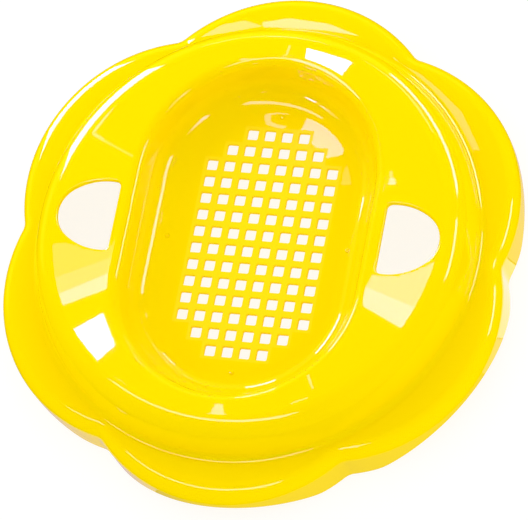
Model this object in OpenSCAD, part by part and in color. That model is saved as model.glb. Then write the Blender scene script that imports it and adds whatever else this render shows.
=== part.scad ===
/* [Sieve plate] */
// Thickness of the moulding, the same in every region
wall_t = 2; // [1.4:0.1:2.6]
// Distance from the middle of one hole to the middle of the next
hole_pitch = 8; // [7:0.1:9]
// Side of each square hole
hole_side = 5; // [4:0.1:6]
// Holes across the plate in a full row
hole_columns = 8; // [6:2:10]
// Rows of holes along the plate
hole_rows = 14; // [12:2:16]
// Rows at each end that lose two more holes each
short_rows = 2; // [0:1:3]
// Plain plate left outside the outermost hole corner
plate_margin = 1.5; // [1:0.1:4]

/* [Basin] */
// Half the distance between the middles of the basin's two round ends
spine_half = 24.5; // [18:0.5:30]
// Flat land between the sieve plate and the start of the wall
floor_land = 2.5; // [1.5:0.1:5]
// Height from the basin's floor up to the deck
basin_depth = 20.5; // [17:0.5:26]
// Radius of the hollow round between floor and wall
basin_fillet_r = 15; // [10:0.5:17]
// Lean of the wall from upright, in degrees
basin_lean = 15.6; // [12:0.2:25]
// Radius of the round edge between wall and deck, on its outside
basin_lip_r = 5; // [3:0.5:7]

/* [Floor pips] */
// Radius of each small domed pip
pip_r = 1.1; // [0.8:0.1:1.5]
// Height of a pip above the surface that carries it
pip_h = 0.6; // [0.3:0.1:0.8]
// Distance of the end pips inside the flat land's outer edge
pip_end_inset = 0.6; // [0:0.1:1]
// Distance of the side pips beyond the flat land's outer edge
pip_side_outset = 4.4; // [1.5:0.1:5]

/* [Hand openings] */
// Deck left between the basin's edge and an opening's straight side
opening_gap = 3.1; // [2.5:0.1:8]
// Length of an opening from its straight side to its round tip
opening_length = 26.2; // [22:0.2:30]
// Half of an opening's greatest width
opening_half_w = 16.5; // [14:0.5:18]
// Distance from the straight side to the widest place
opening_back = 4.4; // [3.5:0.1:8]
// Radius of the two long sides
opening_side_r = 27; // [25:0.5:40]
// Radius of the two corners at the straight side
opening_corner_r = 2.5; // [1:0.1:3.4]

/* [Rim ring] */
// Deck left between an opening's tip and the start of the rounded crest
crest_gap = 4.2; // [3:0.1:10]
// Radius of the rounded crest, on its outside
crest_round_r = 5; // [3:0.5:7]
// Height from the petal faces up to the deck
rim_h = 19.5; // [15:0.5:25]
// Lean of the ring's outer wall from upright, in degrees
rim_lean = 16; // [8:1:22]
// Radius of the hollow round at the ring's foot
rim_foot_r = 3.5; // [2:0.5:5]

/* [Petals] */
// Radius of each petal's outline
petal_r = 73.9; // [70:0.1:90]
// Radius of the hollow round in each notch between two petals
notch_r = 8; // [5:0.5:12]
// Flat face left between the ring's foot and the rolled edge at a notch
notch_land = 0.8; // [0.4:0.1:6]
// Radius of the rolled edge, on its outside
edge_r = 6.5; // [4:0.5:8]

/* [Skirt] */
// Height of the petal faces above the ground
petal_h = 22; // [19:0.5:26]
// Height of the arch under the middle of each petal
arch_rise = 12; // [6:0.5:14]
// Radius of the arch under each petal
arch_r = 88; // [75:1:110]

/* [Hidden] */
$fn = 180;

// Overrun of a cut past the faces that it opens
overrun = 1;
// Straight steps that make up one round stretch of a section
arc_steps = 10;
// Petals round the ring, the first of them halfway between two notches
petal_count = 6;
petal_step = 360 / petal_count;
notch_turn = petal_step / 2;

// Heights
deck_z = petal_h + rim_h;
floor_z = deck_z - basin_depth;

// Hole pattern, whose corners set the plate's size
function holes_in_row(row) =
    hole_columns - 2 * max(0, short_rows - min(row, hole_rows - 1 - row));
function pattern_place(index, count) = (index - (count - 1) / 2) * hole_pitch;
function corner_reach(row) = norm([
    pattern_place(holes_in_row(row) - 1, holes_in_row(row)) + hole_side / 2,
    max(0, abs(pattern_place(row, hole_rows)) + hole_side / 2 - spine_half)
]);
plate_r = max([for (row = [0 : hole_rows - 1]) corner_reach(row)]) + plate_margin;

// Basin section, measured outward from the line between the two end middles
land_r = plate_r + floor_land;
wall_foot = [
    land_r + basin_fillet_r * cos(basin_lean),
    floor_z + basin_fillet_r * (1 - sin(basin_lean))
];
wall_head_z = deck_z - basin_lip_r * (1 - sin(basin_lean));
wall_head = [wall_foot[0] + (wall_head_z - wall_foot[1]) * tan(basin_lean), wall_head_z];
lip_r = wall_head[0] + basin_lip_r * cos(basin_lean);

// Hand opening, measured from the middle of the part
opening_x = lip_r + opening_gap;
opening_wide_x = opening_x + opening_back;
opening_tip_x = opening_x + opening_length;
side_middle_y = opening_side_r - opening_half_w;
tip_run = opening_tip_x - opening_wide_x;
tip_r = (pow(opening_side_r, 2) - pow(tip_run, 2) - pow(side_middle_y, 2))
    / (2 * (opening_side_r - tip_run));
tip_middle_x = opening_tip_x - tip_r;
tip_angle = atan2(side_middle_y, tip_middle_x - opening_wide_x);
corner_middle_x = opening_x + opening_corner_r;
corner_lift = opening_side_r - opening_corner_r;
corner_middle_y = sqrt(pow(corner_lift, 2) - pow(opening_wide_x - corner_middle_x, 2))
    - side_middle_y;
corner_angle = atan2(corner_middle_y + side_middle_y, corner_middle_x - opening_wide_x);

// Ring section
crest_r = opening_tip_x + crest_gap;
ring_head = [
    crest_r + crest_round_r * cos(rim_lean),
    deck_z - crest_round_r * (1 - sin(rim_lean))
];
ring_foot_z = petal_h + rim_foot_r * (1 - sin(rim_lean));
ring_foot = [ring_head[0] + (ring_head[1] - ring_foot_z) * tan(rim_lean), ring_foot_z];
foot_r = ring_foot[0] + rim_foot_r * cos(rim_lean);

// Petal outline: round petals joined by hollow rounds in the notches.
// Each round petal and each hollow round has its own middle.
notch_middle_r = foot_r + notch_land + edge_r + notch_r;
petal_middle_r = notch_middle_r * cos(notch_turn)
    - sqrt(pow(petal_r + notch_r, 2) - pow(notch_middle_r * sin(notch_turn), 2));
petal_sweep = atan2(
    notch_middle_r * sin(notch_turn),
    notch_middle_r * cos(notch_turn) - petal_middle_r
);
notch_sweep = petal_sweep - notch_turn;
skirt_top_z = petal_h - edge_r;

// Flat face inside the rolled edge: along a petal's middle, and along the line to a notch
petal_face_w = petal_r - edge_r - (foot_r - petal_middle_r);
notch_face_w = petal_r - edge_r + petal_middle_r * cos(petal_sweep)
    - sqrt(pow(foot_r, 2) - pow(petal_middle_r * sin(petal_sweep), 2));

function polar(radius, angle) = [radius * cos(angle), radius * sin(angle)];
function arc(middle, radius, from_angle, to_angle, first_step = 0) = [
    for (step = [first_step : arc_steps])
        middle + polar(radius, from_angle + (to_angle - from_angle) * step / arc_steps)
];

// A flat shape as long as the basin: a disc drawn out along the line of middles
module stadium(radius) {
    for (side = [-1, 1]) translate([0, side * spine_half]) circle(r = radius);
    square([2 * radius, 2 * spine_half], center = true);
}

// Section of the basin from the sieve plate's edge to the deck
module basin_section() {
    fillet_middle = [land_r, floor_z + basin_fillet_r];
    lip_middle = [lip_r, deck_z - basin_lip_r];
    polygon(concat(
        [[plate_r, floor_z]],
        arc(fillet_middle, basin_fillet_r, -90, -basin_lean),
        arc(lip_middle, basin_lip_r, 180 - basin_lean, 90),
        arc(lip_middle, basin_lip_r - wall_t, 90, 180 - basin_lean),
        arc(fillet_middle, basin_fillet_r + wall_t, -basin_lean, -90),
        [[plate_r, floor_z - wall_t]]
    ));
}

// Small domes on the land at the ends and low on the hollow round at the sides
module pip(place, surface_z) {
    dome_r = (pow(pip_r, 2) + pow(pip_h, 2)) / (2 * pip_h);
    translate([place[0], place[1], surface_z]) {
        intersection() {
            translate([0, 0, pip_h - dome_r]) sphere(r = dome_r);
            translate([0, 0, -wall_t / 2]) cylinder(r = pip_r, h = wall_t / 2 + pip_h);
        }
    }
}

// Section of the ring from the crest to the petal faces
module ring_section() {
    crest_middle = [crest_r, deck_z - crest_round_r];
    foot_middle = [foot_r, petal_h + rim_foot_r];
    polygon(concat(
        arc(crest_middle, crest_round_r, 90, rim_lean),
        arc(foot_middle, rim_foot_r, 180 + rim_lean, 270),
        arc(foot_middle, rim_foot_r + wall_t, 270, 180 + rim_lean),
        arc(crest_middle, crest_round_r - wall_t, rim_lean, 90)
    ));
}

// Section of the flat face and rolled edge, and of the wall below down to a height.
// It is measured outward from the middle of the rolled edge.
module edge_section(face_w, bottom_z) {
    edge_middle = [0, skirt_top_z];
    wall_ends = [[edge_r, bottom_z], [edge_r - wall_t, bottom_z]];
    polygon(concat(
        [[-face_w, petal_h]],
        arc(edge_middle, edge_r, 90, 0),
        bottom_z < skirt_top_z ? wall_ends : [],
        arc(edge_middle, edge_r - wall_t, 0, 90),
        [[-face_w, petal_h - wall_t]]
    ));
}

// Puts children at the middle of a petal's outline, with the petal along +X
module at_petal(number) {
    rotate([0, 0, notch_turn + (number - 1) * petal_step])
        translate([petal_middle_r, 0, 0]) children();
}

// Puts children at the middle of a notch's hollow round, with the part's middle along -X
module at_notch(number) {
    rotate([0, 0, (number - 1) * petal_step])
        translate([notch_middle_r, 0, 0]) children();
}

// The round hole that the ring's foot fills, cut through the petal faces
module foot_cut(middle_r) {
    translate([-middle_r, 0, petal_h - wall_t - overrun])
        cylinder(r = foot_r, h = wall_t + 2 * overrun);
}

// Outline of the right hand opening: a straight side, two small corners, two long
// sides and a round tip, each meeting the next without a kink
module opening_plan() {
    polygon(concat(
        arc([corner_middle_x, -corner_middle_y], opening_corner_r, -180, -corner_angle),
        arc([opening_wide_x, side_middle_y], opening_side_r, -corner_angle, -tip_angle, 1),
        arc([tip_middle_x, 0], tip_r, -tip_angle, tip_angle, 1),
        arc([opening_wide_x, -side_middle_y], opening_side_r, tip_angle, corner_angle, 1),
        arc([corner_middle_x, corner_middle_y], opening_corner_r, corner_angle, 180, 1)
    ));
}

module sieve_plate() {
    color("gold")
        translate([0, 0, floor_z - wall_t])
            linear_extrude(height = wall_t)
                difference() {
                    stadium(plate_r);
                    for (row = [0 : hole_rows - 1])
                        for (column = [0 : holes_in_row(row) - 1])
                            translate([
                                pattern_place(column, holes_in_row(row)),
                                pattern_place(row, hole_rows)
                            ])
                                square(hole_side, center = true);
                }
}

module basin_wall() {
    side_pip_x = land_r + pip_side_outset;
    end_pip_y = spine_half + land_r - pip_end_inset;
    side_pip_z = floor_z + basin_fillet_r
        - sqrt(pow(basin_fillet_r, 2) - pow(pip_side_outset, 2));
    color("gold") {
        for (end = [0, 1])
            mirror([0, end, 0])
                translate([0, spine_half, 0]) rotate_extrude(angle = 180) basin_section();
        for (side = [0, 1])
            mirror([side, 0, 0])
                rotate([90, 0, 0])
                    linear_extrude(height = 2 * spine_half, center = true) basin_section();
        for (side = [-1, 1]) {
            pip([side * side_pip_x, 0], side_pip_z);
            pip([0, side * end_pip_y], floor_z);
        }
    }
}

module deck() {
    color("gold")
        translate([0, 0, deck_z - wall_t])
            linear_extrude(height = wall_t)
                difference() {
                    circle(r = crest_r);
                    stadium(lip_r);
                    for (side = [0, 1]) mirror([side, 0]) opening_plan();
                }
}

module rim_ring() {
    color("gold") rotate_extrude() ring_section();
}

module petal(number) {
    color("gold")
        at_petal(number)
            difference() {
                rotate([0, 0, -petal_sweep])
                    rotate_extrude(angle = 2 * petal_sweep)
                        translate([petal_r - edge_r, 0])
                            edge_section(petal_face_w + overrun, skirt_top_z);
                foot_cut(petal_middle_r);
            }
}

module skirt(number) {
    color("gold")
        at_petal(number)
            difference() {
                rotate([0, 0, -petal_sweep])
                    rotate_extrude(angle = 2 * petal_sweep)
                        translate([petal_r - wall_t, 0]) square([wall_t, skirt_top_z]);
                translate([0, 0, arch_rise - arch_r])
                    rotate([0, 90, 0]) cylinder(r = arch_r, h = petal_r + overrun);
            }
}

module notch(number) {
    color("gold")
        at_notch(number)
            difference() {
                rotate([0, 0, 180 - notch_sweep])
                    rotate_extrude(angle = 2 * notch_sweep)
                        translate([notch_r + edge_r, 0])
                            mirror([1, 0]) edge_section(notch_face_w + overrun, 0);
                foot_cut(notch_middle_r);
            }
}

sieve_plate();
basin_wall();
deck();
rim_ring();
petal(1);  // petal_1
petal(2);  // petal_2
petal(3);  // petal_3
petal(4);  // petal_4
petal(5);  // petal_5
petal(6);  // petal_6
skirt(1);  // skirt_1
skirt(2);  // skirt_2
skirt(3);  // skirt_3
skirt(4);  // skirt_4
skirt(5);  // skirt_5
skirt(6);  // skirt_6
notch(1);  // notch_1
notch(2);  // notch_2
notch(3);  // notch_3
notch(4);  // notch_4
notch(5);  // notch_5
notch(6);  // notch_6
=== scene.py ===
"""Looks of a toy sand sieve: one glossy yellow moulding that stands on a white table in a photo studio."""

import logging
import math
from collections.abc import Callable, Iterable, Sequence
from dataclasses import dataclass, field
from enum import Enum

import bmesh
import bpy
from mathutils import Matrix, Vector


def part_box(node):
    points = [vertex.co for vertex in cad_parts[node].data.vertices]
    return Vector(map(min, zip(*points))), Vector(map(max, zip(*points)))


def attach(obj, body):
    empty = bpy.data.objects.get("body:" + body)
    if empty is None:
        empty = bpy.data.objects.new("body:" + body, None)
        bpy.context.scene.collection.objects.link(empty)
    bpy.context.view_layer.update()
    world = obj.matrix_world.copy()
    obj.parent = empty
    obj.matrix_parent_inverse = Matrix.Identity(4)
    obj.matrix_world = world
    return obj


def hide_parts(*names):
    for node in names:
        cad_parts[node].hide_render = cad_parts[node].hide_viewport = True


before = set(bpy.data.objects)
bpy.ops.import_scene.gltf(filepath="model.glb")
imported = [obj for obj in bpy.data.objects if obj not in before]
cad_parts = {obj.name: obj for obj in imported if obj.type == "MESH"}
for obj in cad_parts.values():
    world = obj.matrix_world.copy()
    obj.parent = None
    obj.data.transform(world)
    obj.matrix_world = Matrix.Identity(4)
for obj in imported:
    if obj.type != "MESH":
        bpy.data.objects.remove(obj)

LOG = logging.getLogger("sand_sieve")
MM = 0.001
IMAGE_WIDTH = 528
SENSOR_WIDTH = 36.0
WELD = 1e-6
FINE_WELD = 1e-7

# Gloss adds to a yellow that is bright in red and green already. These lights hold some green
# back, so that the sum is the cream white of a reflection on yellow plastic.
LIGHT_COLOUR = "#FFB3FF"
CARD_COLOUR = "#FF99FF"
TABLE_GLOW_COLOUR = "#FFE7FF"
BACKDROP_COLOUR = "#FFFF3F"
WHITE = "#FFFFFF"

BMesh, BMEdge, BMVert = bmesh.types.BMesh, bmesh.types.BMEdge, bmesh.types.BMVert
Object, Material = bpy.types.Object, bpy.types.Material
NodeTree, NodeSocket = bpy.types.NodeTree, bpy.types.NodeSocket
Edges = list[BMEdge]
Levels = list[tuple[float, float]]


class Plane(Enum):
    """The plane that an outline is drawn in, as the directions across and up it."""

    SECTION = (Vector((1.0, 0.0, 0.0)), Vector((0.0, 0.0, 1.0)))
    PLAN = (Vector((1.0, 0.0, 0.0)), Vector((0.0, 1.0, 0.0)))


class Side(Enum):
    """The side of the basin that a hand opening is on."""

    RIGHT = 1.0
    LEFT = -1.0


class Seen(Enum):
    """Where a light is seen."""

    IN_GLOSS = "gloss"
    IN_SHADING = "shading"


class Level(Enum):
    """Height of a studio card in mm: for the deck, for the basin's floor and the petals, or on the table."""

    HIGH = 100.0
    LOW = 60.0
    TABLE = 0.5


class Pen:
    """Draws a chain of straight and round stretches as edges of a mesh."""

    def __init__(self, mesh: BMesh, plane: Plane, across: float, up: float) -> None:
        """Puts the pen down.

        Args:
            mesh: Mesh that takes the edges.
            plane: Plane that the chain lies in.
            across: Place of the first point across the plane.
            up: Place of the first point up the plane.
        """
        self.mesh = mesh
        self.known = set(mesh.edges)
        self.across, self.up = plane.value
        self.first = mesh.verts.new(self.place(across, up))
        self.tip = self.first

    def place(self, across: float, up: float) -> Vector:
        """The point at these places in the plane."""
        return self.across * across + self.up * up

    def line(self, across: float, up: float) -> None:
        """Draws a straight stretch.

        Args:
            across: Place of its end across the plane.
            up: Place of its end up the plane.
        """
        made = bmesh.ops.extrude_vert_indiv(self.mesh, verts=[self.tip])
        self.tip = made["verts"][0]
        self.tip.co = self.place(across, up)

    def arc(self, across: float, up: float, turn: float, steps: int) -> None:
        """Draws a round stretch.

        Args:
            across: Place of the round's middle across the plane.
            up: Place of the round's middle up the plane.
            turn: Angle drawn, in degrees, positive from across towards up.
            steps: Number of straight steps in it.
        """
        made = bmesh.ops.spin(
            self.mesh,
            geom=[self.tip],
            cent=self.place(across, up),
            axis=self.across.cross(self.up),
            angle=math.radians(turn),
            steps=steps,
            use_duplicate=False,
        )
        self.tip = verts_among(made["geom_last"])[0]

    def close(self) -> None:
        """Draws a straight stretch back to the first point."""
        self.mesh.edges.new((self.tip, self.first))

    def drawn(self) -> Edges:
        """The edges that this pen has drawn."""
        return [edge for edge in self.mesh.edges if edge not in self.known]

    def weld(self) -> None:
        """Merges the points where the chain comes back to its start."""
        bmesh.ops.remove_doubles(self.mesh, verts=verts_of(self.drawn()), dist=FINE_WELD)


def hex_to_linear(colour: str) -> tuple[float, float, float, float]:
    """Turns an sRGB hex colour to the linear values that shaders take.

    Args:
        colour: Colour as #RRGGBB.

    Returns:
        Linear red, green, blue and an alpha of one.
    """
    parts = [int(colour[i : i + 2], 16) / 255 for i in (1, 3, 5)]
    linear = [p / 12.92 if p <= 0.04045 else ((p + 0.055) / 1.055) ** 2.4 for p in parts]
    return (linear[0], linear[1], linear[2], 1.0)


def add_node(
    tree: NodeTree, kind: str, inputs: dict[str | int, object] | None = None, **settings: object
) -> bpy.types.Node:
    """Adds a node with its settings, values and links.

    Args:
        tree: Node tree that takes the node.
        kind: Blender's name for the kind of node.
        inputs: Value or linked output for each named or numbered input.
        **settings: Properties of the node.

    Returns:
        The new node.
    """
    node = tree.nodes.new(kind)
    for name, value in settings.items():
        setattr(node, name, value)
    for name, value in (inputs or {}).items():
        if isinstance(value, NodeSocket):
            tree.links.new(value, node.inputs[name])
        else:
            node.inputs[name].default_value = value
    return node


def new_material(name: str) -> tuple[Material, NodeTree]:
    """Makes an empty node material.

    Args:
        name: Name of the material.

    Returns:
        The material and its node tree.
    """
    material = bpy.data.materials.new(name)
    material.use_nodes = True
    material.node_tree.nodes.clear()
    return material, material.node_tree


def edges_among(items: Iterable[object]) -> Edges:
    """The edges among some mesh items."""
    return [item for item in items if isinstance(item, BMEdge)]


def verts_among(items: Iterable[object]) -> list[BMVert]:
    """The points among some mesh items."""
    return [item for item in items if isinstance(item, BMVert)]


def verts_of(edges: Edges) -> list[BMVert]:
    """The points at the ends of some edges, each once."""
    return list(dict.fromkeys(vert for edge in edges for vert in edge.verts))


def turn_edges(mesh: BMesh, edges: Edges, middle: Vector, turn: float, steps: int) -> Edges:
    """Sweeps edges round an upright axis.

    Args:
        mesh: Mesh that holds the edges.
        edges: Edges to sweep.
        middle: Point on the axis.
        turn: Angle of the sweep in degrees, positive anticlockwise from above.
        steps: Number of steps in the sweep.

    Returns:
        The edges at the end of the sweep.
    """
    made = bmesh.ops.spin(
        mesh,
        geom=verts_of(edges) + edges,
        cent=middle,
        axis=(0.0, 0.0, 1.0),
        angle=math.radians(turn),
        steps=steps,
        use_duplicate=False,
    )
    return edges_among(made["geom_last"])


def push_edges(mesh: BMesh, edges: Edges, move: Vector, steps: int) -> Edges:
    """Sweeps edges along a straight line.

    Args:
        mesh: Mesh that holds the edges.
        edges: Edges to sweep.
        move: The whole way that they go.
        steps: Number of steps on the way.

    Returns:
        The edges at the end of the way.
    """
    for _ in range(steps):
        made = bmesh.ops.extrude_edge_only(mesh, edges=edges)["geom"]
        bmesh.ops.translate(mesh, verts=verts_among(made), vec=move / steps)
        edges = edges_among(made)
    return edges


def loft(mesh: BMesh, rims: Sequence[Edges]) -> None:
    """Joins each closed outline to the next with a band of faces.

    Args:
        mesh: Mesh that holds the outlines.
        rims: Outlines in their order along the shape.
    """
    for before, after in zip(rims, rims[1:]):
        bmesh.ops.bridge_loops(mesh, edges=before + after)


def closed_loft(mesh: BMesh, rims: Sequence[Edges]) -> None:
    """Joins outlines to one closed body, with a face over each end.

    Args:
        mesh: Mesh that holds the outlines.
        rims: Outlines in their order along the body.
    """
    for rim in (rims[0], rims[-1]):
        bmesh.ops.contextual_create(mesh, geom=rim)
    loft(mesh, rims)


def wall_levels(top: float, bottom: float, over_round: float, under_round: float, steps: int) -> Levels:
    """Gives the outlines down the wall of a hole whose two edges are rounded.

    Args:
        top: Height of the face round the hole.
        bottom: Height of the face under it.
        over_round: Radius of the upper edge.
        under_round: Radius of the lower edge.
        steps: Number of steps in each edge.

    Returns:
        How far each outline stands outside the wall, and its height, from the top down.
    """
    angles = [math.pi / 2 * step / steps for step in range(steps + 1)]
    over = [(over_round * (1 - math.sin(a)), top - over_round * (1 - math.cos(a))) for a in angles]
    under = [(under_round * (1 - math.sin(a)), bottom + under_round * (1 - math.cos(a))) for a in angles]
    return over + under[::-1]


def stadium_outline(mesh: BMesh, radius: float, spine_half: float, height: float, end_steps: int) -> Edges:
    """Draws a round-ended outline that runs along Y.

    Args:
        mesh: Mesh that takes the outline.
        radius: Radius of the round ends.
        spine_half: Half the distance between their middles.
        height: Height of the outline.
        end_steps: Steps in each round end.

    Returns:
        The outline's edges.
    """
    pen = Pen(mesh, Plane.PLAN, radius, -spine_half)
    pen.line(radius, spine_half)
    pen.arc(0.0, spine_half, 180.0, end_steps)
    pen.line(-radius, -spine_half)
    pen.arc(0.0, -spine_half, 180.0, end_steps)
    pen.weld()
    bmesh.ops.translate(mesh, verts=verts_of(pen.drawn()), vec=(0.0, 0.0, height))
    return pen.drawn()


def finish_mesh(mesh: BMesh, name: str) -> Object:
    """Closes the seams of a mesh, points its faces outwards and makes an object of it.

    Args:
        mesh: Mesh to finish. It is freed.
        name: Name of the object.

    Returns:
        The new object, linked to the scene.
    """
    bmesh.ops.remove_doubles(mesh, verts=mesh.verts, dist=WELD)
    bmesh.ops.recalc_face_normals(mesh, faces=mesh.faces)
    data = bpy.data.meshes.new(name)
    mesh.to_mesh(data)
    mesh.free()
    piece = bpy.data.objects.new(name, data)
    bpy.context.scene.collection.objects.link(piece)
    return piece


def cut_away(piece: Object, cutters: Sequence[Object]) -> None:
    """Cuts some objects out of a piece and removes them.

    Args:
        piece: Object that is cut.
        cutters: Closed objects that say what goes.
    """
    for cutter in cutters:
        cut = piece.modifiers.new(cutter.name, "BOOLEAN")
        cut.operation = "DIFFERENCE"
        cut.solver = "EXACT"
        cut.object = cutter
    bpy.context.view_layer.update()
    graph = bpy.context.evaluated_depsgraph_get()
    whole = bpy.data.meshes.new_from_object(piece.evaluated_get(graph))
    piece.modifiers.clear()
    piece.data = whole
    for cutter in cutters:
        bpy.data.objects.remove(cutter)


def reshape(piece: Object, rule: Callable[[Vector], Vector]) -> None:
    """Moves every point of a piece by one rule.

    Args:
        piece: Object whose mesh is changed.
        rule: Gives the new place of a point.
    """
    mesh = bmesh.new()
    mesh.from_mesh(piece.data)
    bmesh.ops.remove_doubles(mesh, verts=mesh.verts, dist=WELD)
    for vert in mesh.verts:
        vert.co = rule(vert.co)
    mesh.to_mesh(piece.data)
    mesh.free()


def smooth_step(value: float, low: float, high: float) -> float:
    """Rises from zero at low to one at high with no kink at either end."""
    share = min(1.0, max(0.0, (value - low) / (high - low)))
    return share * share * (3 - 2 * share)


def direction(azimuth: float, elevation: float) -> Vector:
    """Points from the part's middle towards a light or the camera.

    Args:
        azimuth: Degrees anticlockwise from X, seen from above.
        elevation: Degrees above level.

    Returns:
        The direction, one long.
    """
    around, above = math.radians(azimuth), math.radians(elevation)
    return Vector((math.cos(around) * math.cos(above), math.sin(around) * math.cos(above), math.sin(above)))


def aimed(out: Vector, roll: float) -> Matrix:
    """The turn of a light or camera that looks back along a direction, rolled by some degrees."""
    return (out.to_track_quat("Z", "Y").to_matrix() @ Matrix.Rotation(math.radians(roll), 3, "Z")).to_4x4()


@dataclass(frozen=True)
class MouldedPlastic:
    """Polypropylene from a polished mould: waxy, glossy and evenly coloured through.

    The gloss is a little soft and the surface very slightly wavy, so straight
    reflections keep clear but not perfect edges. The mould is etched where the
    holes are, which makes that field satin.
    """

    name: str = "glossy_polypropylene"
    colour: str = "#FFE000"
    deep_colour: str = "#FEDD00"
    ior: float = 1.49
    roughness: float = 0.035
    roughness_spread: float = 0.01
    gloss: float = 0.5
    field_roughness: float = 0.4
    field_gloss: float = 0.08
    field_half: tuple[float, ...] = (32.0 * MM, 24.0 * MM, 16.0 * MM)
    field_reach: tuple[float, ...] = (40.0 * MM, 48.0 * MM, 56.0 * MM)
    wave_size: float = 14.0 * MM
    wave_height: float = 0.002 * MM
    wave_detail: float = 1.0
    cloud_size: float = 30.0 * MM
    cloud_detail: float = 2.0

    def field_mask(self, tree: NodeTree, place: NodeSocket) -> NodeSocket:
        """Marks the satin field of holes, whose outline steps in with the shorter rows.

        Args:
            tree: Node tree of the material.
            place: Place on the object.

        Returns:
            One in the field on the plate and zero elsewhere.
        """
        size = add_node(tree, "ShaderNodeVectorMath", {0: place}, operation="ABSOLUTE").outputs[0]
        parts = add_node(tree, "ShaderNodeSeparateXYZ", {0: size}).outputs
        inside = None
        for half, reach in zip(self.field_half, self.field_reach):
            across, along = (
                add_node(tree, "ShaderNodeMath", {0: part, 1: limit}, operation="LESS_THAN").outputs[0]
                for part, limit in zip(parts, (half, reach))
            )
            step = add_node(tree, "ShaderNodeMath", {0: across, 1: along}, operation="MULTIPLY").outputs[0]
            if inside is not None:
                step = add_node(tree, "ShaderNodeMath", {0: inside, 1: step}, operation="MAXIMUM").outputs[0]
            inside = step
        return inside

    def material(self) -> Material:
        """Makes the material, or finds it where it is made already.

        Returns:
            The material.
        """
        made = bpy.data.materials.get(self.name)
        if made is not None:
            return made
        made, tree = new_material(self.name)
        place = add_node(tree, "ShaderNodeTexCoord").outputs["Object"]
        cloud_scale = {"Vector": place, "Scale": 1 / self.cloud_size, "Detail": self.cloud_detail}
        clouds = add_node(tree, "ShaderNodeTexNoise", cloud_scale).outputs["Fac"]
        tint = add_node(
            tree,
            "ShaderNodeMix",
            {0: clouds, 6: hex_to_linear(self.deep_colour), 7: hex_to_linear(self.colour)},
            data_type="RGBA",
        ).outputs[2]
        polish = add_node(
            tree,
            "ShaderNodeMapRange",
            {
                "Value": clouds,
                "To Min": self.roughness - self.roughness_spread,
                "To Max": self.roughness + self.roughness_spread,
            },
        ).outputs["Result"]
        satin = self.field_mask(tree, place)
        roughness = add_node(tree, "ShaderNodeMix", {0: satin, 2: polish, 3: self.field_roughness}).outputs[0]
        gloss = add_node(tree, "ShaderNodeMix", {0: satin, 2: self.gloss, 3: self.field_gloss}).outputs[0]
        wave_scale = {"Vector": place, "Scale": 1 / self.wave_size, "Detail": self.wave_detail}
        waves = add_node(tree, "ShaderNodeTexNoise", wave_scale).outputs["Fac"]
        relief = add_node(
            tree, "ShaderNodeBump", {"Height": waves, "Distance": self.wave_height, "Strength": 1.0}
        ).outputs["Normal"]
        shader = add_node(
            tree,
            "ShaderNodeBsdfPrincipled",
            {
                "Base Color": tint,
                "Roughness": roughness,
                "IOR": self.ior,
                "Specular IOR Level": gloss,
                "Normal": relief,
            },
        ).outputs["BSDF"]
        add_node(tree, "ShaderNodeOutputMaterial", {"Surface": shader})
        return made


@dataclass(frozen=True)
class WhiteLaminate:
    """Matt white laminate lit from all round: even and bright, with shadows that hardly show."""

    name: str = "matt_white_laminate"
    colour: str = "#7C7C7C"
    glow: float = 0.82
    roughness: float = 0.5

    def material(self) -> Material:
        """Makes the material.

        Returns:
            The material.
        """
        material, tree = new_material(self.name)
        shader = add_node(
            tree,
            "ShaderNodeBsdfPrincipled",
            {
                "Base Color": hex_to_linear(self.colour),
                "Roughness": self.roughness,
                "Specular IOR Level": 0.0,
                "Emission Color": hex_to_linear(WHITE),
                "Emission Strength": self.glow,
            },
        ).outputs["BSDF"]
        add_node(tree, "ShaderNodeOutputMaterial", {"Surface": shader})
        return material


@dataclass(frozen=True)
class LitPaper:
    """Diffusion paper with a lamp behind it: an even glow with no gloss of its own."""

    name: str
    colour: str
    radiance: float

    def material(self) -> Material:
        """Makes the material.

        Returns:
            The material.
        """
        material, tree = new_material(self.name)
        lamp = {"Color": hex_to_linear(self.colour), "Strength": self.radiance}
        glow = add_node(tree, "ShaderNodeEmission", lamp).outputs["Emission"]
        add_node(tree, "ShaderNodeOutputMaterial", {"Surface": glow})
        return material


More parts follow.
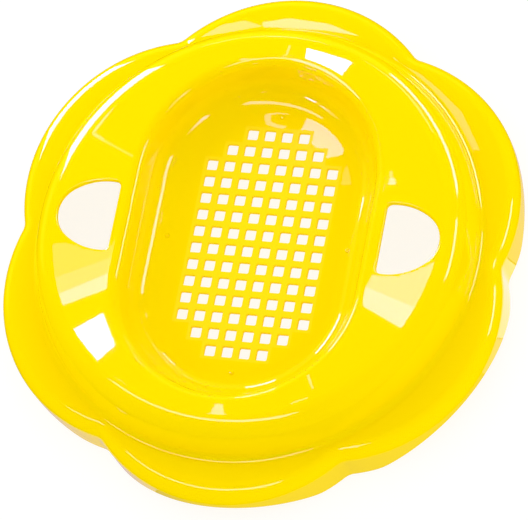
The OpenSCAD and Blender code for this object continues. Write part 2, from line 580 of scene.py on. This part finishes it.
@dataclass(frozen=True)
class Moulding:
    """Sizes that every region of the moulding shares, read from its solids where they hold them."""

    wall: float = 2.0 * MM
    seam: float = 0.3 * MM
    dish_rise: float = 0.05
    dish_level_r: float = 78.0 * MM
    dish_from_z: float = 29.5 * MM
    dish_full_z: float = 34.5 * MM
    sharp_angle: float = 40.0
    area_weight: int = 50
    deck_z: float = field(default_factory=lambda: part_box("deck")[1].z)
    crest_r: float = field(default_factory=lambda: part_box("deck")[1].x)
    floor_z: float = field(default_factory=lambda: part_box("sieve_plate")[1].z)
    petal_z: float = field(default_factory=lambda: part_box("petal_2")[1].z)
    foot_r: float = field(default_factory=lambda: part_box("rim_ring")[1].x)
    reach: float = field(default_factory=lambda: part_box("petal_2")[1].y)
    plate_r: float = field(default_factory=lambda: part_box("sieve_plate")[1].x)
    plate_half: float = field(default_factory=lambda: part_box("sieve_plate")[1].y)
    lip_r: float = field(default_factory=lambda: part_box("basin_wall")[1].x)

    @property
    def spine_half(self) -> float:
        """Half the distance between the middles of the basin's round ends."""
        return self.plate_half - self.plate_r

    def dish(self, point: Vector) -> Vector:
        """Lifts the deck outwards like a very flat dish, and leaves the floor and the petals level.

        Args:
            point: Point of the level moulding.

        Returns:
            The point of the dished one.
        """
        part = smooth_step(point.z, self.dish_from_z, self.dish_full_z)
        lift = self.dish_rise * (point.xy.length - self.dish_level_r) * part
        return point + Vector((0.0, 0.0, lift))

    def dress(self, piece: Object, finish: MouldedPlastic, nodes: Sequence[str]) -> None:
        """Gives a piece its shading and finish and lets it stand for its solids.

        Args:
            piece: Piece of the moulding.
            finish: Finish of its surface.
            nodes: Names of the solids that it stands for.
        """
        for face in piece.data.polygons:
            face.use_smooth = True
        piece.data.set_sharp_from_angle(angle=math.radians(self.sharp_angle))
        even = piece.modifiers.new("even_shading", "WEIGHTED_NORMAL")
        even.mode = "FACE_AREA"
        even.keep_sharp = True
        even.weight = self.area_weight
        piece.data.materials.clear()
        piece.data.materials.append(finish.material())
        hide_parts(*nodes)
        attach(piece, "root")
        LOG.info("%s: %d faces, for %s", piece.name, len(piece.data.polygons), ", ".join(nodes))


@dataclass
class SievePlate:
    """The flat plate with its grid of square holes, which are rounded at the corners and edges."""

    moulding: Moulding
    pitch: float = 8.0 * MM
    hole_side: float = 5.0 * MM
    corner_r: float = 0.7 * MM
    edge_round: float = 0.35 * MM
    columns: int = 8
    rows: int = 14
    short_rows: int = 2
    corner_steps: int = 4
    round_steps: int = 3
    end_steps: int = 96

    def places(self) -> list[Vector]:
        """Sets out the holes, two fewer in each of the last rows than in the one before.

        Returns:
            The middles of all the holes.
        """
        found = []
        for row in range(self.rows):
            count = self.columns - 2 * max(0, self.short_rows - min(row, self.rows - 1 - row))
            along = (row - (self.rows - 1) / 2) * self.pitch
            for column in range(count):
                found.append(Vector(((column - (count - 1) / 2) * self.pitch, along, 0.0)))
        return found

    def hole_outline(self, mesh: BMesh, grow: float, height: float) -> Edges:
        """Draws one hole's outline about the origin.

        Args:
            mesh: Mesh that takes the outline.
            grow: Distance of the outline outside the hole's wall.
            height: Height of the outline.

        Returns:
            The outline's edges.
        """
        half = self.hole_side / 2 + grow
        radius = self.corner_r + grow
        inner = half - radius
        pen = Pen(mesh, Plane.PLAN, half, -inner)
        pen.line(half, inner)
        pen.arc(inner, inner, 90.0, self.corner_steps)
        pen.line(-inner, half)
        pen.arc(-inner, inner, 90.0, self.corner_steps)
        pen.line(-half, -inner)
        pen.arc(-inner, -inner, 90.0, self.corner_steps)
        pen.line(inner, -half)
        pen.arc(inner, -inner, 90.0, self.corner_steps)
        pen.weld()
        bmesh.ops.translate(mesh, verts=verts_of(pen.drawn()), vec=(0.0, 0.0, height))
        return pen.drawn()

    def build(self) -> Object:
        """Makes the plate.

        Returns:
            The plate as one closed piece.
        """
        m = self.moulding
        faces_z = (m.floor_z, m.floor_z - m.wall)
        mesh = bmesh.new()
        levels = wall_levels(*faces_z, self.edge_round, self.edge_round, self.round_steps)
        loft(mesh, [self.hole_outline(mesh, grow, height) for grow, height in levels])
        first = list(mesh.verts) + list(mesh.edges) + list(mesh.faces)
        places = self.places()
        for place in places[1:]:
            copy = bmesh.ops.duplicate(mesh, geom=first)["geom"]
            bmesh.ops.translate(mesh, verts=verts_among(copy), vec=place)
        bmesh.ops.translate(mesh, verts=verts_among(first), vec=places[0])
        loft(mesh, [stadium_outline(mesh, m.plate_r, m.spine_half, z, self.end_steps) for z in faces_z])
        for height in faces_z:
            rims = [
                edge
                for edge in mesh.edges
                if edge.is_boundary and all(abs(vert.co.z - height) < FINE_WELD for vert in edge.verts)
            ]
            bmesh.ops.triangle_fill(mesh, edges=rims, use_beauty=True, use_dissolve=False)
        return finish_mesh(mesh, "sieve_plate_skin")

    def dress(self, piece: Object, finish: MouldedPlastic) -> None:
        """Gives the plate its finish and lets it stand for its solid."""
        self.moulding.dress(piece, finish, ["sieve_plate"])


@dataclass
class Basin:
    """The oblong basin: flat land with four pips, hollow round, leaning wall and round edge to the deck."""

    moulding: Moulding
    land: float = 2.5 * MM
    fillet_r: float = 15.0 * MM
    lean: float = 15.6
    lip_round: float = 5.0 * MM
    pip_r: float = 1.1 * MM
    pip_height: float = 0.6 * MM
    pips: Sequence[tuple[float, float, float]] = (
        (41.96 * MM, 0.0, 21.66 * MM),
        (-41.96 * MM, 0.0, 21.66 * MM),
        (0.0, 61.46 * MM, 21.0 * MM),
        (0.0, -61.46 * MM, 21.0 * MM),
    )
    fillet_steps: int = 14
    lip_steps: int = 14
    end_steps: int = 96
    side_steps: int = 12
    pip_steps: int = 24
    pip_rings: int = 12

    def section(self, mesh: BMesh) -> Edges:
        """Draws the basin's section from the plate's edge to the deck.

        Args:
            mesh: Mesh that takes the section.

        Returns:
            The section's edges.
        """
        m = self.moulding
        land_r = m.plate_r + self.land
        fillet_z = m.floor_z + self.fillet_r
        lip_z = m.deck_z - self.lip_round
        lean = math.radians(self.lean)
        turn = 90.0 - self.lean
        under_fillet = self.fillet_r + m.wall
        pen = Pen(mesh, Plane.SECTION, m.plate_r, m.floor_z)
        pen.line(land_r, m.floor_z)
        pen.arc(land_r, fillet_z, turn, self.fillet_steps)
        pen.line(m.lip_r - self.lip_round * math.cos(lean), lip_z + self.lip_round * math.sin(lean))
        pen.arc(m.lip_r, lip_z, -turn, self.lip_steps)
        pen.line(m.lip_r + m.seam, m.deck_z)
        pen.line(m.lip_r + m.seam, m.deck_z - m.wall)
        pen.line(m.lip_r, m.deck_z - m.wall)
        pen.arc(m.lip_r, lip_z, turn, self.lip_steps)
        pen.line(land_r + under_fillet * math.cos(lean), fillet_z - under_fillet * math.sin(lean))
        pen.arc(land_r, fillet_z, -turn, self.fillet_steps)
        pen.line(m.plate_r, m.floor_z - m.wall)
        pen.close()
        return pen.drawn()

    def build(self) -> Object:
        """Makes the basin.

        Returns:
            The basin as one closed piece, with its pips.
        """
        m = self.moulding
        mesh = bmesh.new()
        edges = self.section(mesh)
        half = Vector((0.0, m.spine_half, 0.0))
        bmesh.ops.translate(mesh, verts=mesh.verts, vec=-half)
        edges = push_edges(mesh, edges, 2 * half, self.side_steps)
        edges = turn_edges(mesh, edges, half, 180.0, self.end_steps)
        edges = push_edges(mesh, edges, -2 * half, self.side_steps)
        turn_edges(mesh, edges, -half, 180.0, self.end_steps)
        dome = Matrix.Diagonal((self.pip_r, self.pip_r, self.pip_height, 1.0))
        for place in self.pips:
            bmesh.ops.create_uvsphere(
                mesh,
                u_segments=self.pip_steps,
                v_segments=self.pip_rings,
                radius=1.0,
                matrix=Matrix.Translation(place) @ dome,
            )
        piece = finish_mesh(mesh, "basin_skin")
        reshape(piece, m.dish)
        return piece

    def dress(self, piece: Object, finish: MouldedPlastic) -> None:
        """Gives the basin its finish and lets it stand for its solid."""
        self.moulding.dress(piece, finish, ["basin_wall"])


@dataclass
class HandOpening:
    """One D-shaped opening for the fingers, with a rounded upper edge."""

    moulding: Moulding
    side: Side
    gap: float = 3.1 * MM
    length: float = 26.2 * MM
    half_width: float = 16.5 * MM
    back: float = 4.4 * MM
    side_r: float = 27.0 * MM
    corner_r: float = 2.5 * MM
    edge_round: float = 1.2 * MM
    under_round: float = 0.3 * MM
    overrun: float = 1.0 * MM
    arc_steps: int = 16
    round_steps: int = 6

    def outline(self, mesh: BMesh, grow: float, height: float) -> Edges:
        """Draws the opening's outline, moved out by a distance.

        Args:
            mesh: Mesh that takes the outline.
            grow: Distance of the outline outside the opening's wall.
            height: Height of the outline.

        Returns:
            The outline's edges.
        """
        start = self.moulding.lip_r + self.gap
        wide = start + self.back
        run = self.length - self.back
        drop = self.side_r - self.half_width
        tip_r = (self.side_r**2 - run**2 - drop**2) / (2 * (self.side_r - run))
        tip = start + self.length - tip_r
        corner = start + self.corner_r
        corner_up = math.sqrt((self.side_r - self.corner_r) ** 2 - (wide - corner) ** 2) - drop
        tip_angle = math.degrees(math.atan2(drop, tip - wide))
        corner_angle = math.degrees(math.atan2(corner_up + drop, corner - wide))
        pen = Pen(mesh, Plane.PLAN, start - grow, -corner_up)
        pen.arc(corner, -corner_up, 180.0 - corner_angle, self.arc_steps)
        pen.arc(wide, drop, corner_angle - tip_angle, self.arc_steps)
        pen.arc(tip, 0.0, 2 * tip_angle, self.arc_steps)
        pen.arc(wide, -drop, corner_angle - tip_angle, self.arc_steps)
        pen.arc(corner, corner_up, 180.0 - corner_angle, self.arc_steps)
        pen.close()
        bmesh.ops.translate(mesh, verts=verts_of(pen.drawn()), vec=(0.0, 0.0, height))
        return pen.drawn()

    def cutter(self) -> Object:
        """Makes the solid that cuts the opening, flared where the edges are rounded.

        Returns:
            The cutter as one closed object.
        """
        m = self.moulding
        top, bottom = m.deck_z, m.deck_z - m.wall
        levels = [
            (self.edge_round, top + self.overrun),
            *wall_levels(top, bottom, self.edge_round, self.under_round, self.round_steps),
            (self.under_round, bottom - self.overrun),
        ]
        mesh = bmesh.new()
        closed_loft(mesh, [self.outline(mesh, grow, height) for grow, height in levels])
        bmesh.ops.scale(mesh, verts=mesh.verts, vec=(self.side.value, 1.0, 1.0))
        return finish_mesh(mesh, f"opening_{self.side.name.lower()}")


@dataclass
class Bowl:
    """The broad deck with its hand openings, and the ring that carries it: crest, wall and foot.

    The crest's round is wider than in the solids, as its reflections show, with the wall in the same place.
    """

    moulding: Moulding
    openings: Sequence[HandOpening]
    crest_round: float = 10.0 * MM
    solid_round: float = 5.0 * MM
    lean: float = 16.0
    foot_round: float = 3.5 * MM
    inner_r: float = 50.0 * MM
    deck_steps: int = 6
    crest_steps: int = 24
    foot_steps: int = 10
    turn_steps: int = 288
    end_steps: int = 96
    overrun: float = 1.0 * MM

    def section(self, mesh: BMesh) -> Edges:
        """Draws the section of deck and ring from inside the basin to the petal faces.

        Args:
            mesh: Mesh that takes the section.

        Returns:
            The section's edges.
        """
        m = self.moulding
        crest_z = m.deck_z - self.crest_round
        foot_z = m.petal_z + self.foot_round
        lean = math.radians(self.lean)
        turn = 90.0 - self.lean
        out, up = math.cos(lean), math.sin(lean)
        crest = m.crest_r - (self.crest_round - self.solid_round) * (1.0 - up) / out
        crest_under = self.crest_round - m.wall
        deck_run = crest - self.inner_r
        pen = Pen(mesh, Plane.SECTION, self.inner_r, m.deck_z)
        for step in range(1, self.deck_steps + 1):
            pen.line(self.inner_r + deck_run * step / self.deck_steps, m.deck_z)
        pen.arc(crest, crest_z, -turn, self.crest_steps)
        pen.line(m.foot_r - self.foot_round * out, foot_z - self.foot_round * up)
        pen.arc(m.foot_r, foot_z, turn, self.foot_steps)
        pen.line(m.foot_r + m.seam, m.petal_z)
        pen.line(m.foot_r + m.seam, m.petal_z - m.wall)
        pen.line(m.foot_r, m.petal_z - m.wall)
        pen.arc(m.foot_r, foot_z, -turn, self.foot_steps)
        pen.line(crest + crest_under * out, crest_z + crest_under * up)
        pen.arc(crest, crest_z, turn, self.crest_steps)
        for step in range(1, self.deck_steps + 1):
            pen.line(crest - deck_run * step / self.deck_steps, m.deck_z - m.wall)
        pen.close()
        return pen.drawn()

    def basin_cutter(self) -> Object:
        """Makes the round-ended solid that cuts the room for the basin out of the deck.

        Returns:
            The cutter as one closed object.
        """
        m = self.moulding
        mesh = bmesh.new()
        heights = (m.deck_z - m.wall - self.overrun, m.deck_z + self.overrun)
        rims = [stadium_outline(mesh, m.lip_r + m.seam, m.spine_half, z, self.end_steps) for z in heights]
        closed_loft(mesh, rims)
        return finish_mesh(mesh, "basin_room")

    def build(self) -> Object:
        """Makes the deck and ring.

        Returns:
            Both as one closed piece.
        """
        mesh = bmesh.new()
        turn_edges(mesh, self.section(mesh), Vector(), 360.0, self.turn_steps)
        piece = finish_mesh(mesh, "bowl_skin")
        cut_away(piece, [self.basin_cutter(), *(opening.cutter() for opening in self.openings)])
        reshape(piece, self.moulding.dish)
        return piece

    def dress(self, piece: Object, finish: MouldedPlastic) -> None:
        """Gives the deck and ring their finish and lets them stand for their solids."""
        self.moulding.dress(piece, finish, ["deck", "rim_ring"])


@dataclass
class Flange:
    """The six petals: flat face, rolled edge and the arched wall that the part stands on."""

    moulding: Moulding
    petals: int = 6
    petal_r: float = 73.9 * MM
    notch_r: float = 8.0 * MM
    edge_r: float = 6.5 * MM
    arch_rise: float = 12.0 * MM
    arch_r: float = 88.0 * MM
    arch_blend: float = 1.2 * MM
    rim_round: float = 0.6 * MM
    petal_steps: int = 56
    notch_steps: int = 20
    roll_steps: int = 16
    rim_steps: int = 4

    @property
    def step(self) -> float:
        """Angle from each petal's middle line to the next, in radians."""
        return 2 * math.pi / self.petals

    @property
    def roll_z(self) -> float:
        """Height where the rolled edge ends and the upright wall starts."""
        return self.moulding.petal_z - self.edge_r

    @property
    def petal_middle(self) -> float:
        """Distance of each petal's middle from the part's."""
        return self.moulding.reach - self.petal_r

    @property
    def notch_middle(self) -> float:
        """Finds the round that touches two petals.

        Returns:
            Distance of each notch's middle from the part's.
        """
        along = self.petal_middle * math.cos(self.step / 2)
        aside = self.petal_middle * math.sin(self.step / 2)
        return along + math.sqrt((self.petal_r + self.notch_r) ** 2 - aside**2)

    def section(self, mesh: BMesh) -> Edges:
        """Draws the open section from the flat face over the rolled edge, down and back up inside.

        Args:
            mesh: Mesh that takes the section, placed on the first petal's middle line.

        Returns:
            The section's edges.
        """
        m = self.moulding
        roll = m.reach - self.edge_r
        inner = m.reach - m.wall
        pen = Pen(mesh, Plane.SECTION, roll, m.petal_z)
        pen.arc(roll, self.roll_z, -90.0, self.roll_steps)
        pen.line(m.reach, self.rim_round)
        pen.arc(m.reach - self.rim_round, self.rim_round, -90.0, self.rim_steps)
        pen.line(inner + self.rim_round, 0.0)
        pen.arc(inner + self.rim_round, self.rim_round, -90.0, self.rim_steps)
        pen.line(inner, self.roll_z)
        pen.arc(roll, self.roll_z, 90.0, self.roll_steps)
        return pen.drawn()

    def arch_height(self, point: Vector) -> float:
        """Height of the wall's lower edge.

        Args:
            point: Point of the wall.

        Returns:
            Zero at the feet, rising in a round arch towards each petal's middle line.
        """
        angle = math.atan2(point.y, point.x) % self.step - self.step / 2
        aside = point.xy.length * math.sin(angle)
        rise = self.arch_rise - self.arch_r + math.sqrt(self.arch_r**2 - aside**2)
        return (rise + math.sqrt(rise**2 + self.arch_blend**2)) / 2

    def raise_arches(self, point: Vector) -> Vector:
        """Lifts the wall's lower part so that its edge follows the arches.

        Args:
            point: Point of the flange with a level lower edge.

        Returns:
            The point of the arched one.
        """
        if point.z >= self.roll_z:
            return point
        share = min(1.0, (self.roll_z - point.z) / (self.roll_z - self.rim_round))
        return point + Vector((0.0, 0.0, self.arch_height(point) * share))

    def build(self) -> Object:
        """Makes the flange.

        Returns:
            All six petals and notches as one closed piece.
        """
        m = self.moulding
        mesh = bmesh.new()
        edges = self.section(mesh)
        half_sweep = math.atan2(
            self.notch_middle * math.sin(self.step / 2),
            self.notch_middle * math.cos(self.step / 2) - self.petal_middle,
        )
        petal_turn = math.degrees(2 * half_sweep)
        notch_turn = math.degrees(2 * half_sweep - self.step)
        petal_middle = Matrix.Rotation(-self.step / 2, 3, "Z") @ Vector((self.petal_middle, 0.0, 0.0))
        notch_middle = Vector((self.notch_middle, 0.0, 0.0))
        bmesh.ops.transform(mesh, matrix=Matrix.Rotation(-self.step / 2, 4, "Z"), verts=mesh.verts)
        bmesh.ops.rotate(
            mesh, verts=mesh.verts, cent=petal_middle, matrix=Matrix.Rotation(-half_sweep, 3, "Z")
        )
        for petal in range(self.petals):
            turn = Matrix.Rotation(petal * self.step, 3, "Z")
            edges = turn_edges(mesh, edges, turn @ petal_middle, petal_turn, self.petal_steps)
            edges = turn_edges(mesh, edges, turn @ notch_middle, -notch_turn, self.notch_steps)
        bmesh.ops.remove_doubles(mesh, verts=mesh.verts, dist=WELD)
        rims = [edge for edge in mesh.edges if edge.is_boundary]
        for vert in verts_among(bmesh.ops.extrude_edge_only(mesh, edges=rims)["geom"]):
            flat = vert.co.xy.normalized() * (m.foot_r + m.seam)
            vert.co = Vector((flat.x, flat.y, vert.co.z))
        bmesh.ops.bridge_loops(mesh, edges=[edge for edge in mesh.edges if edge.is_boundary])
        piece = finish_mesh(mesh, "flange_skin")
        reshape(piece, self.raise_arches)
        return piece

    def dress(self, piece: Object, finish: MouldedPlastic) -> None:
        """Gives the flange its finish and lets it stand for its solids.

        Args:
            piece: The built flange.
            finish: Finish of its surface.
        """
        numbers = range(1, self.petals + 1)
        nodes = [f"{kind}_{number}" for kind in ("petal", "skirt", "notch") for number in numbers]
        self.moulding.dress(piece, finish, nodes)


@dataclass
class Table:
    """The white table top that the sieve stands on."""

    half_size: float = 3.0
    finish: WhiteLaminate = WhiteLaminate()

    def build(self) -> Object:
        """Makes the table top.

        Returns:
            The table top, which the sieve's gloss doesn't show.
        """
        mesh = bmesh.new()
        bmesh.ops.create_grid(mesh, x_segments=1, y_segments=1, size=self.half_size)
        data = bpy.data.meshes.new("table")
        mesh.to_mesh(data)
        mesh.free()
        table = bpy.data.objects.new("table", data)
        table.visible_glossy = False
        bpy.context.scene.collection.objects.link(table)
        data.materials.append(self.finish.material())
        return table


@dataclass
class StudioCamera:
    """The camera, at the photograph's viewing angle and distance."""

    azimuth: float = -49.75
    elevation: float = 63.55
    roll: float = -32.23
    distance: float = 1993.3 * MM
    focal_pixels: float = 4494.6
    near: float = 0.05
    far: float = 50.0
    aim: Vector = field(default_factory=lambda: Vector((3.25, -5.85, 16.73)) * MM)

    def build(self) -> Object:
        """Makes the camera and sets it as the scene's.

        Returns:
            The camera.
        """
        data = bpy.data.cameras.new("studio_camera")
        data.sensor_width = SENSOR_WIDTH
        data.lens = self.focal_pixels * SENSOR_WIDTH / IMAGE_WIDTH
        data.clip_start = self.near
        data.clip_end = self.far
        camera = bpy.data.objects.new("studio_camera", data)
        bpy.context.scene.collection.objects.link(camera)
        back = direction(self.azimuth, self.elevation)
        camera.matrix_world = Matrix.Translation(self.aim + back * self.distance) @ aimed(back, self.roll)
        bpy.context.scene.camera = camera
        return camera


@dataclass
class Softbox:
    """One rectangular light, for all pieces where it names no receivers. Its radiance is its face's."""

    name: str
    azimuth: float
    elevation: float
    distance: float
    width: float
    height: float
    radiance: float
    colour: str = LIGHT_COLOUR
    seen: Seen = Seen.IN_GLOSS
    receivers: Sequence[str] = ()

    def build(self) -> Object:
        """Makes the light, aimed at the part's middle.

        Returns:
            The light.
        """
        data = bpy.data.lights.new(self.name, "AREA")
        data.shape = "RECTANGLE"
        data.size = self.width
        data.size_y = self.height
        data.color = hex_to_linear(self.colour)[:3]
        data.energy = self.radiance * self.width * self.height * math.pi
        light = bpy.data.objects.new(self.name, data)
        bpy.context.scene.collection.objects.link(light)
        out = direction(self.azimuth, self.elevation)
        light.matrix_world = Matrix.Translation(out * self.distance) @ aimed(out, 0.0)
        light.visible_camera = False
        light.visible_diffuse = self.seen is Seen.IN_SHADING
        light.visible_glossy = self.seen is Seen.IN_GLOSS
        if self.receivers:
            lit = bpy.data.collections.new(f"{self.name}_receivers")
            for name in self.receivers:
                lit.objects.link(bpy.data.objects[name])
            light.light_linking.receiver_collection = lit
        return light


@dataclass
class Card:
    """One level card of lit paper near the part, cut to an outline and seen only in the gloss."""

    name: str
    radiance: float
    corners: Sequence[tuple[float, float]] = ()
    level: Level = Level.HIGH
    colour: str = CARD_COLOUR

    def outline(self, mesh: BMesh) -> None:
        """Draws the card's outline through its corners, which are in mm.

        Args:
            mesh: Mesh that takes the outline.
        """
        corners = [(across * MM, up * MM) for across, up in self.corners]
        pen = Pen(mesh, Plane.PLAN, *corners[0])
        for corner in corners[1:]:
            pen.line(*corner)
        pen.close()

    def build(self) -> Object:
        """Makes the card.

        Returns:
            The card.
        """
        mesh = bmesh.new()
        self.outline(mesh)
        bmesh.ops.contextual_create(mesh, geom=list(mesh.edges))
        bmesh.ops.translate(mesh, verts=mesh.verts, vec=(0.0, 0.0, self.level.value * MM))
        card = finish_mesh(mesh, self.name)
        card.data.materials.append(LitPaper(f"{self.name}_paper", self.colour, self.radiance).material())
        card.visible_camera = False
        card.visible_diffuse = False
        card.visible_shadow = False
        return card


@dataclass
class RingCard(Card):
    """A stretch of a ring round the part, which gives its upright walls the shine of the bright table."""

    level: Level = Level.TABLE
    colour: str = TABLE_GLOW_COLOUR
    start: float = 0.0
    turn: float = 180.0
    inner_r: float = 98.0 * MM
    outer_r: float = 128.0 * MM
    steps: int = 8

    def outline(self, mesh: BMesh) -> None:
        """Draws the stretch out, round and back.

        Args:
            mesh: Mesh that takes the outline.
        """
        first = direction(self.start, 0.0)
        last = direction(self.start + self.turn, 0.0)
        pen = Pen(mesh, Plane.PLAN, *(first * self.inner_r).xy)
        pen.line(*(first * self.outer_r).xy)
        pen.arc(0.0, 0.0, self.turn, self.steps)
        pen.line(*(last * self.inner_r).xy)
        pen.arc(0.0, 0.0, -self.turn, self.steps)
        pen.weld()


@dataclass
class Studio:
    """The light round the table: an even white tent, softboxes, and cards that show only in the gloss."""

    surround: float = 0.98
    lights: Sequence[Softbox] = (
        Softbox("right_softbox", 18.0, 30.0, 0.58, 0.20, 0.09, 10.0),
        Softbox(
            "overhead_softbox", 232.0, 69.0, 0.84, 0.66, 0.10, 7.0,
            receivers=("flange_skin", "basin_skin", "bowl_skin"),
        ),
        Softbox("left_softbox", 140.0, 23.0, 0.62, 0.22, 0.36, 22.0, receivers=("flange_skin", "bowl_skin")),
        Softbox("basin_strip", 148.0, 15.5, 0.62, 0.16, 0.08, 18.0, receivers=("basin_skin",)),
        Softbox("back_strip", 121.0, 16.0, 0.60, 0.10, 0.08, 14.0, receivers=("basin_skin",)),
        Softbox("low_right_softbox", 58.0, 21.0, 0.60, 0.44, 0.11, 15.0, receivers=("bowl_skin",)),
        Softbox("backdrop", 125.0, 16.0, 1.20, 2.60, 0.70, 1.1, BACKDROP_COLOUR),
        Softbox("left_fill", 165.0, 28.0, 0.70, 0.50, 0.30, 1.6, WHITE, Seen.IN_SHADING),
        Softbox("back_fill", 100.0, 28.0, 0.70, 0.50, 0.30, 1.6, WHITE, Seen.IN_SHADING),
        Softbox("right_fill", 15.0, 28.0, 0.80, 0.50, 0.30, 1.2, WHITE, Seen.IN_SHADING),
        Softbox(
            "skirt_fill", -50.0, 10.0, 0.70, 0.50, 0.20, 1.0, WHITE, Seen.IN_SHADING, ("flange_skin",)
        ),
    )
    cards: Sequence[Card] = (
        Card("top_window", 40.0, ((-7.0, 106.2), (14.4, 101.5), (9.9, 93.9), (-7.0, 96.6))),
        Card("left_window", 40.0, ((-86.4, -32.2), (-73.6, -21.5), (-65.8, -35.4), (-72.3, -44.2))),
        Card("left_haze", 2.2, ((-103.6, 5.9), (-73.5, 11.8), (-72.7, 4.8), (-98.7, -9.3))),
        Card("left_mid", 4.2, ((-98.7, -9.3), (-72.7, 4.8), (-73.2, -2.5), (-96.3, -16.8))),
        Card("left_band", 11.0, ((-96.3, -16.8), (-73.2, -2.5), (-71.6, -9.1), (-93.0, -21.5))),
        Card("right_haze", 7.5, ((35.1, 2.1), (60.6, -6.9), (65.7, 14.1), (36.6, 7.5))),
        Card("right_band", 12.0, ((33.5, 2.6), (35.1, 2.1), (60.6, -6.9), (59.9, -18.5), (35.7, -6.5))),
        Card(
            "floor_haze", 10.0,
            ((-1.1, 79.5), (3.3, 78.9), (7.3, 78.0), (11.1, 75.3), (16.3, 70.7), (19.8, 67.0), (22.8, 63.3),
             (20.3, 61.6), (11.7, 59.4), (-2.7, 70.2), (-2.2, 72.7), (-1.3, 75.8)), Level.LOW,
        ),
        Card(
            "floor_edge", 1.6,
            ((20.8, 61.6), (22.9, 57.8), (23.5, 47.0), (21.1, 46.8), (20.7, 56.6), (19.0, 61.0)), Level.LOW,
        ),
        Card("floor_spot", 6.0, ((-5.5, 80.2), (-2.8, 80.9), (-2.0, 79.2), (-4.6, 77.8)), Level.LOW),
        Card(
            "floor_streak", 5.5,
            ((-22.8, 80.3), (-20.5, 80.8), (-18.0, 77.9), (-17.5, 75.0), (-14.3, 73.7), (-9.9, 73.1),
             (-9.7, 71.8), (-14.4, 71.7), (-19.0, 72.8), (-20.4, 75.2), (-21.0, 78.2)), Level.LOW,
        ),
        Card(
            "bell", 8.0,
            ((-17.8, -57.1), (-14.8, -56.8), (-12.9, -62.0), (-10.1, -66.7), (-21.3, -68.0), (-18.8, -62.7)),
        ),
        Card("top_line", 6.0, ((-15.1, 106.7), (-17.0, 95.8), (-16.2, 95.5), (-14.2, 106.4))),
        Card("top_dash", 6.0, ((-19.1, 94.3), (-12.1, 95.0), (-12.2, 96.2), (-19.2, 95.5))),
        Card("left_line", 2.5, ((-95.0, 57.4), (-73.3, 48.5), (-73.1, 49.3), (-94.7, 58.2))),
        Card("left_dash", 6.0, ((-94.2, 57.3), (-88.9, 54.9), (-88.5, 56.1), (-93.7, 58.5))),
        Card("low_line", 5.0, ((17.2, -38.0), (22.3, -46.6), (23.2, -46.1), (18.1, -37.5))),
        Card("low_dash", 6.0, ((15.3, -55.3), (22.5, -51.9), (21.7, -50.6), (14.6, -54.0))),
        Card("low_left_dash", 5.0, ((-64.1, -51.6), (-57.2, -54.9), (-56.8, -53.8), (-63.7, -50.5))),
        Card("right_spot", 11.0, ((37.6, 50.0), (39.5, 50.1), (40.8, 47.6), (37.1, 46.9))),
        Card("right_dot", 5.0, ((36.9, 53.0), (37.3, 50.4), (38.7, 50.5), (38.4, 53.1))),
        Card("right_bar", 12.0, ((32.9, 50.5), (33.7, 44.4), (35.4, 44.5), (34.5, 50.6))),
        Card("crest_line", 8.0, ((-87.6, 73.8), (-95.5, 58.6), (-94.5, 58.0), (-86.6, 73.3))),
        Card(
            "petal_haze", 5.0,
            ((-58.9, 114.4), (-52.8, 120.5), (-38.9, 124.1), (-30.2, 121.7), (-44.9, 117.5)), Level.LOW,
        ),
        Card(
            "petal_top", 8.0,
            ((-30.6, 123.7), (-17.6, 126.7), (1.9, 125.1), (17.2, 120.1), (2.6, 121.6), (-16.7, 121.6),
             (-29.2, 121.2)), Level.LOW,
        ),
        Card(
            "petal_right", 3.0,
            ((34.4, 111.8), (38.3, 108.6), (48.6, 103.9), (59.4, 96.2), (71.5, 86.2), (82.9, 68.3),
             (78.3, 68.0), (60.7, 88.8), (46.7, 101.2), (36.5, 108.0)), Level.LOW,
        ),
        RingCard("right_floor_glow", 1.3, start=4.0, turn=-17.0, inner_r=108.0 * MM, steps=4),
        RingCard("right_floor_fade", 0.7, start=-13.2, turn=-8.8, inner_r=108.0 * MM, steps=4),
        RingCard("near_floor_glow", 0.22, start=-22.3, turn=-82.7),
        RingCard("left_floor_glow", 0.6, start=-105.2, turn=-74.8),
        RingCard("far_floor_glow", 0.6, start=4.3, turn=175.7, steps=12),
    )

    def build(self) -> None:
        """Makes the surroundings, the softboxes and the cards."""
        world = bpy.data.worlds.new("studio")
        bpy.context.scene.world = world
        world.use_nodes = True
        tree = world.node_tree
        tree.nodes.clear()
        tent = {"Color": hex_to_linear(WHITE), "Strength": self.surround}
        glow = add_node(tree, "ShaderNodeBackground", tent).outputs["Background"]
        add_node(tree, "ShaderNodeOutputWorld", {"Surface": glow})
        world.cycles_visibility.glossy = False
        for light in (*self.lights, *self.cards):
            light.build()
        LOG.info("studio: %d softboxes, %d cards", len(self.lights), len(self.cards))


def main() -> None:
    """Builds the sieve, the table, the light and the camera, in that order."""
    logging.basicConfig(level=logging.INFO, format="%(name)s: %(message)s")
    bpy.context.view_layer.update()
    moulding = Moulding()
    plastic = MouldedPlastic()
    openings = [HandOpening(moulding, side) for side in Side]
    for region in (SievePlate(moulding), Basin(moulding), Bowl(moulding, openings), Flange(moulding)):
        region.dress(region.build(), plastic)
    Table().build()
    Studio().build()
    StudioCamera().build()
    scene = bpy.context.scene
    scene.view_settings.view_transform = "Standard"
    scene.view_settings.look = "None"


if __name__ == "__main__":
    main()
